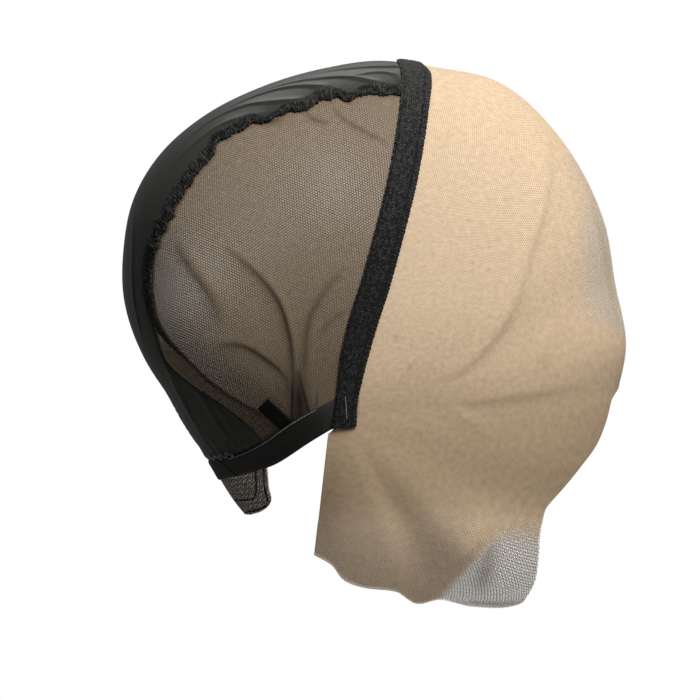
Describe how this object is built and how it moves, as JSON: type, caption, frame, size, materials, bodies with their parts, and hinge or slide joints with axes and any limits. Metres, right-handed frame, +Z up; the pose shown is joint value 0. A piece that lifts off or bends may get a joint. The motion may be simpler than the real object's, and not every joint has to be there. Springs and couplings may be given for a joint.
{
  "type": "lace wig cap",
  "caption": "Lace wig cap in its worn form: satin crown, net sides, elastic front band, wide front lace gathered under the chin, and nape strap.",
  "frame": {"origin": "the point inside the crown where the cap sits on the top of the wearer's head", "axes": "+Z up, -Y the way the wearer faces, +X towards the wearer's left"},
  "size_m": [0.1524, 0.207, 0.2265],
  "materials": {
    "crown_satin": "black stretch satin with a soft sheen",
    "seam_binding": "matt black overlock thread, ruched",
    "side_net": "sheer black-brown hexagonal stretch net",
    "band_elastic": "ribbed black woven elastic with picot edges",
    "skin_lace": "sheer skin-tone hexagonal lace, raw cut edges",
    "strap_elastic": "smooth black flat elastic with stitched edges",
    "dark_lace": "sheer dark brown lace"
  },
  "bodies": {
    "root": {"crown_panel": "crown_satin", "crown_seam_right": "seam_binding", "crown_seam_left": "seam_binding", "side_mesh_right": "side_net", "side_mesh_left": "side_net", "front_band": "band_elastic", "front_lace": "skin_lace", "nape_strap_right": "strap_elastic", "nape_strap_left": "strap_elastic", "nape_band": "strap_elastic", "nape_lace": "dark_lace", "strap_tab_right": "strap_elastic", "strap_tab_left": "strap_elastic"}
  },
  "joints": []
}
